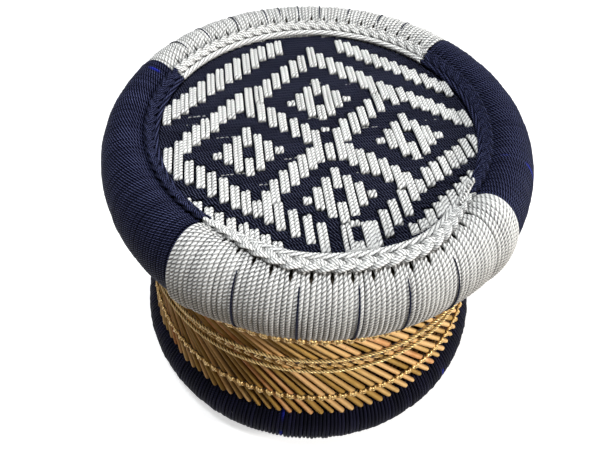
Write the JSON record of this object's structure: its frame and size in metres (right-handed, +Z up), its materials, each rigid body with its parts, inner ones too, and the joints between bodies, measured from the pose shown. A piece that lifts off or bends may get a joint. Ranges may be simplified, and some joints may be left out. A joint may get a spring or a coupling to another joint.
{
  "type": "woven reed stool",
  "caption": "Round waisted stool of slanting reeds between two cord-wrapped rings, with a flat woven cord seat in a raised rim and a chain braid inside the rim.",
  "frame": {"origin": "centre of the base ring, on the floor", "axes": "+Z up through the middle of the seat; -Y towards the front of the pictured view, where the rim is white; +X to its right"},
  "size_m": [0.3982, 0.3982, 0.3136],
  "materials": {
    "grass": "dry grass and reed bundle, rough",
    "white_cord": "silvery off-white twisted cord, soft sheen",
    "navy_cord": "dark navy twisted cord, soft sheen",
    "black_cord": "near-black navy cord with a few bright blue strands",
    "reed": "golden tan peeled reed, slight gloss, colour varies from reed to reed",
    "inner_reed": "tan reed in the shade of the outer layer",
    "gold_cord": "golden twisted cord with a sheen",
    "seat_weave": "navy cord weave with a raised white diamond pattern"
  },
  "bodies": {
    "root": {"rim_core": "grass", "rim_wrap_white_front": "white_cord", "rim_wrap_navy_right": "navy_cord", "rim_wrap_white_back": "white_cord", "rim_wrap_navy_left": "navy_cord", "base_core": "grass", "base_wrap": "black_cord", "outer_reeds": "reed", "inner_reeds": "inner_reed", "waist_cord_upper": "gold_cord", "waist_cord_lower": "gold_cord", "upper_knot_row": "gold_cord", "lower_knot_row": "gold_cord", "woven_seat": "seat_weave", "rim_braid_white_front": "white_cord", "edge_cord_white_front": "white_cord", "rim_braid_navy_right": "navy_cord", "edge_cord_navy_right": "navy_cord", "rim_braid_white_back": "white_cord", "edge_cord_white_back": "white_cord", "rim_braid_navy_left": "navy_cord", "edge_cord_navy_left": "navy_cord"}
  },
  "joints": []
}
